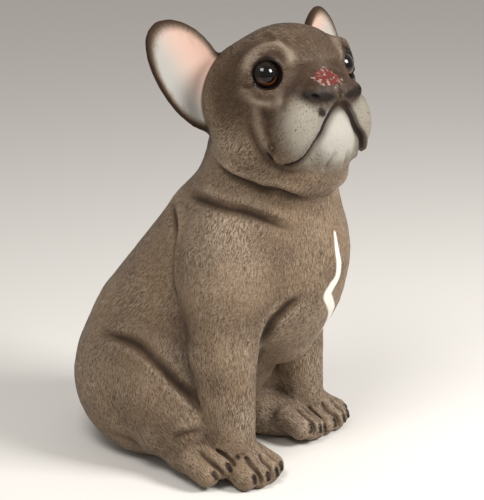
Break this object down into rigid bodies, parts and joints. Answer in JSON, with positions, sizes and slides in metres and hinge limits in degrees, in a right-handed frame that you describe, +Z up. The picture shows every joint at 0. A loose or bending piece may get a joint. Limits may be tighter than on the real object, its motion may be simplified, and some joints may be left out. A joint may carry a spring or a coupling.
{
  "type": "seated bulldog garden statue",
  "caption": "Life-size seated bulldog puppy statue with upright bat ears, its head raised and turned to the right, resting flat on its paws and rump.",
  "frame": {"origin": "on the ground under the middle of the statue's bounding box", "axes": "+Z up, the dog faces -Y, its right side is at -X"},
  "size_m": [0.2174, 0.2764, 0.3903],
  "materials": {
    "painted_resin": "painted resin with dry-brushed short fur, slight sheen",
    "glossy_eye": "polished dark brown, near black"
  },
  "bodies": {
    "root": {"body": "painted_resin", "right_eye": "glossy_eye", "left_eye": "glossy_eye"}
  },
  "joints": []
}
